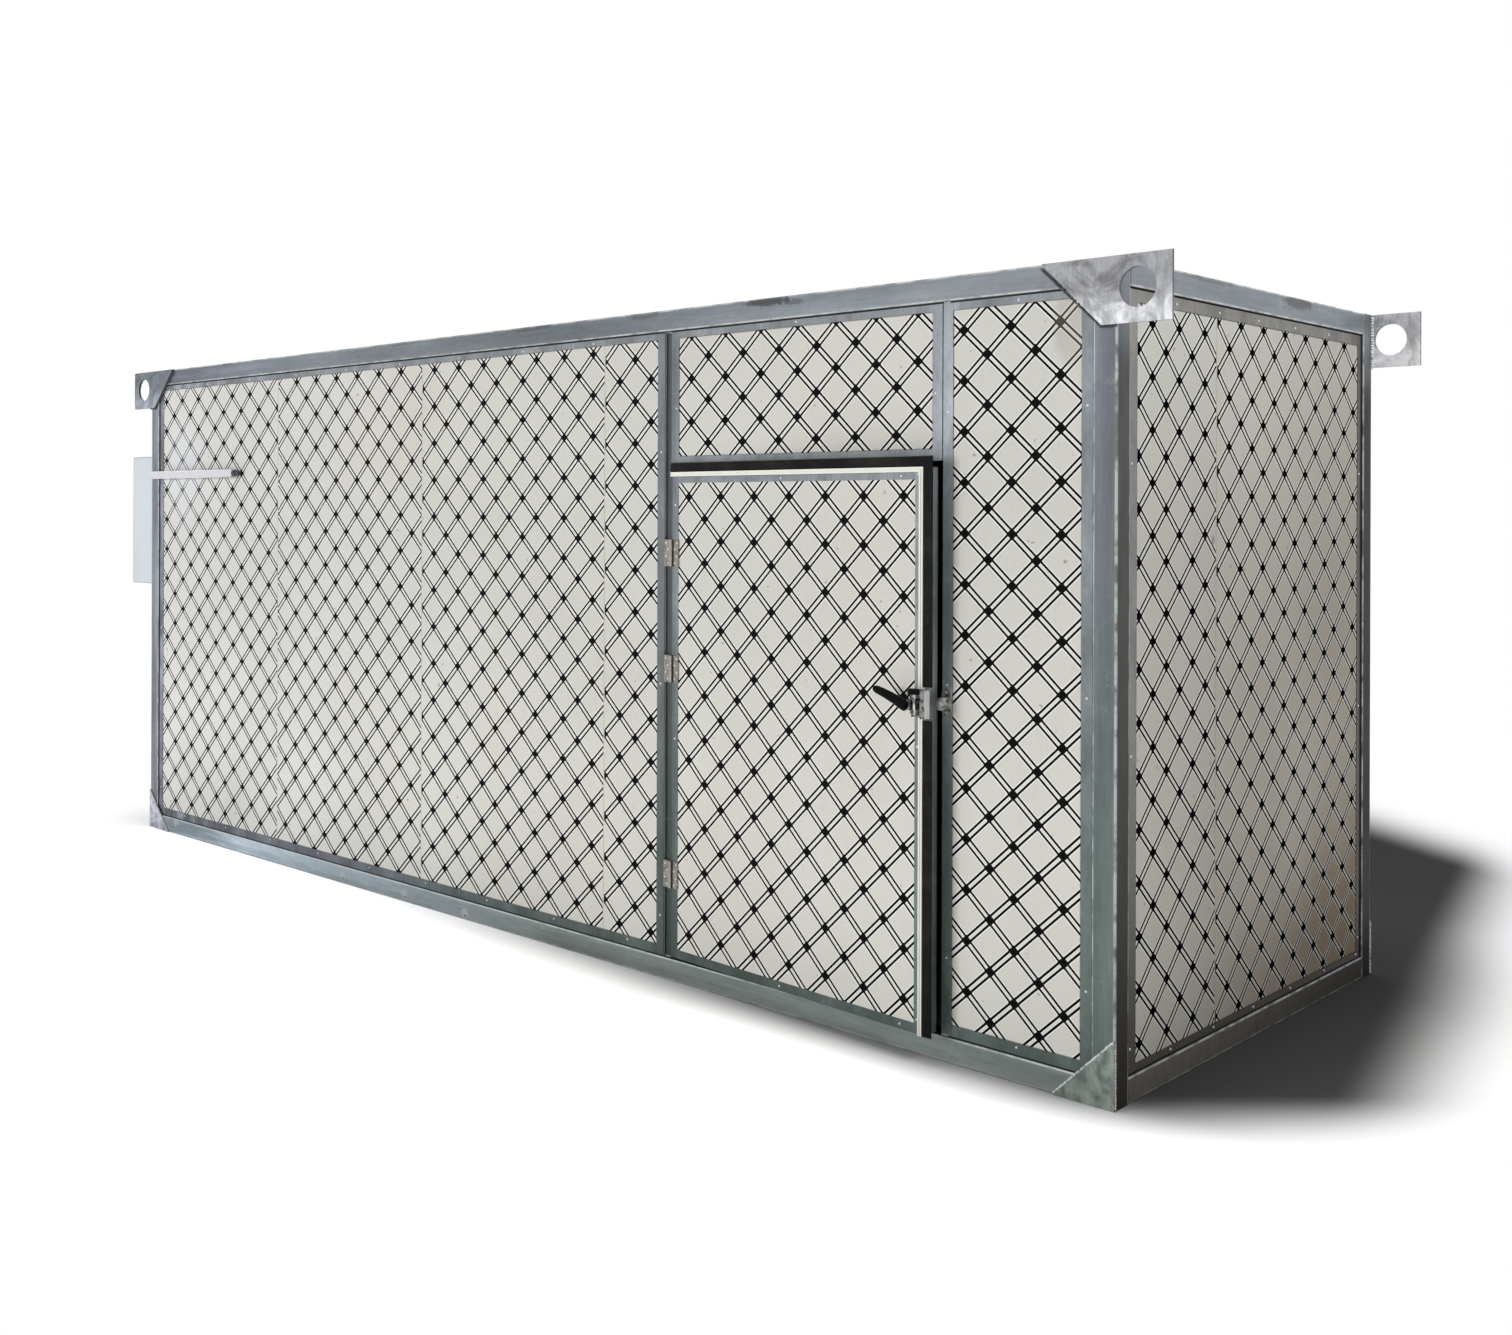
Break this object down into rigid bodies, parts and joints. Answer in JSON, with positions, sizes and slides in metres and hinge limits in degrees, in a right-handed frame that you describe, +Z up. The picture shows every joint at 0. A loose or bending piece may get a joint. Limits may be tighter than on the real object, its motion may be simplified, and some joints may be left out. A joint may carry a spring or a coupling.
{
  "type": "electric drying chamber",
  "caption": "Box-shaped drying chamber of sandwich panels in a galvanised tube frame, with a hinged insulated door, lever latch and lifting plates.",
  "frame": {"origin": "middle of the base, on the floor", "axes": "+X along the length towards the door end, -Y is the front with the door, +Z up"},
  "size_m": [6.2933, 2.0648, 2.5],
  "materials": {
    "galvanised_tube": "galvanised",
    "galvanised_trim": "galvanised sheet",
    "plate_steel": "ground",
    "lattice_panel": "printed",
    "plain_panel": "smooth",
    "cream_plastic": "satin",
    "black_rubber": "matt",
    "hinge_steel": "worn",
    "latch_chrome": "polished",
    "black_plastic": "satin",
    "cabinet_paint": "satin",
    "trunking_plastic": "smooth",
    "dark_plastic": "matt"
  },
  "bodies": {
    "chamber": {"base_rail_front": "galvanised_tube", "base_rail_back": "galvanised_tube", "base_rail_left": "galvanised_tube", "base_rail_right": "galvanised_tube", "base_cross_members": "galvanised_tube", "top_rail_front": "galvanised_tube", "top_rail_back": "galvanised_tube", "top_rail_left": "galvanised_tube", "top_rail_right": "galvanised_tube", "corner_post_front_left": "galvanised_tube", "corner_post_front_right": "galvanised_tube", "corner_post_back_left": "galvanised_tube", "corner_post_back_right": "galvanised_tube", "hinge_post": "galvanised_tube", "lock_post": "galvanised_tube", "door_header": "galvanised_tube", "lifting_plate_front_left": "plate_steel", "lifting_plate_front_right": "plate_steel", "lifting_plate_back_left": "plate_steel", "lifting_plate_back_right": "plate_steel", "corner_gussets": "plate_steel", "front_panels": "lattice_panel", "over_door_panel": "lattice_panel", "lock_side_panel": "lattice_panel", "right_end_panels": "lattice_panel", "left_end_panels": "lattice_panel", "back_panels": "lattice_panel", "floor_panels": "plain_panel", "roof_panels": "plain_panel", "front_trim": "galvanised_trim", "over_door_trim": "galvanised_trim", "lock_side_trim": "galvanised_trim", "right_end_trim": "galvanised_trim", "left_end_trim": "galvanised_trim", "back_trim": "galvanised_trim", "roof_trim": "galvanised_trim", "hinge_frame_wings": "hinge_steel", "latch_keeper": "latch_chrome", "control_cabinet": "cabinet_paint", "cable_trunking": "trunking_plastic", "cable_gland": "dark_plastic"},
    "door": {"door_panel": "lattice_panel", "door_trim": "galvanised_trim", "door_seal_strip": "cream_plastic", "door_seal_lip": "black_rubber", "hinge_door_wings": "hinge_steel", "latch_body": "latch_chrome", "latch_cap": "black_plastic"},
    "lever": {"latch_lever": "latch_chrome", "lever_grip": "black_plastic"}
  },
  "joints": [
    {"name": "door_swing", "type": "hinge", "parent": "chamber", "child": "door", "pos_m": [1.099, -0.9585, 1], "axis": [0, 0, -1], "range_deg": [-3.2, 106]},
    {"name": "lever_pull", "type": "hinge", "parent": "door", "child": "lever", "pos_m": [2.28156, -1.05316, 1.142], "axis": [0, 0, 1], "range_deg": [0, 30]}
  ]
}
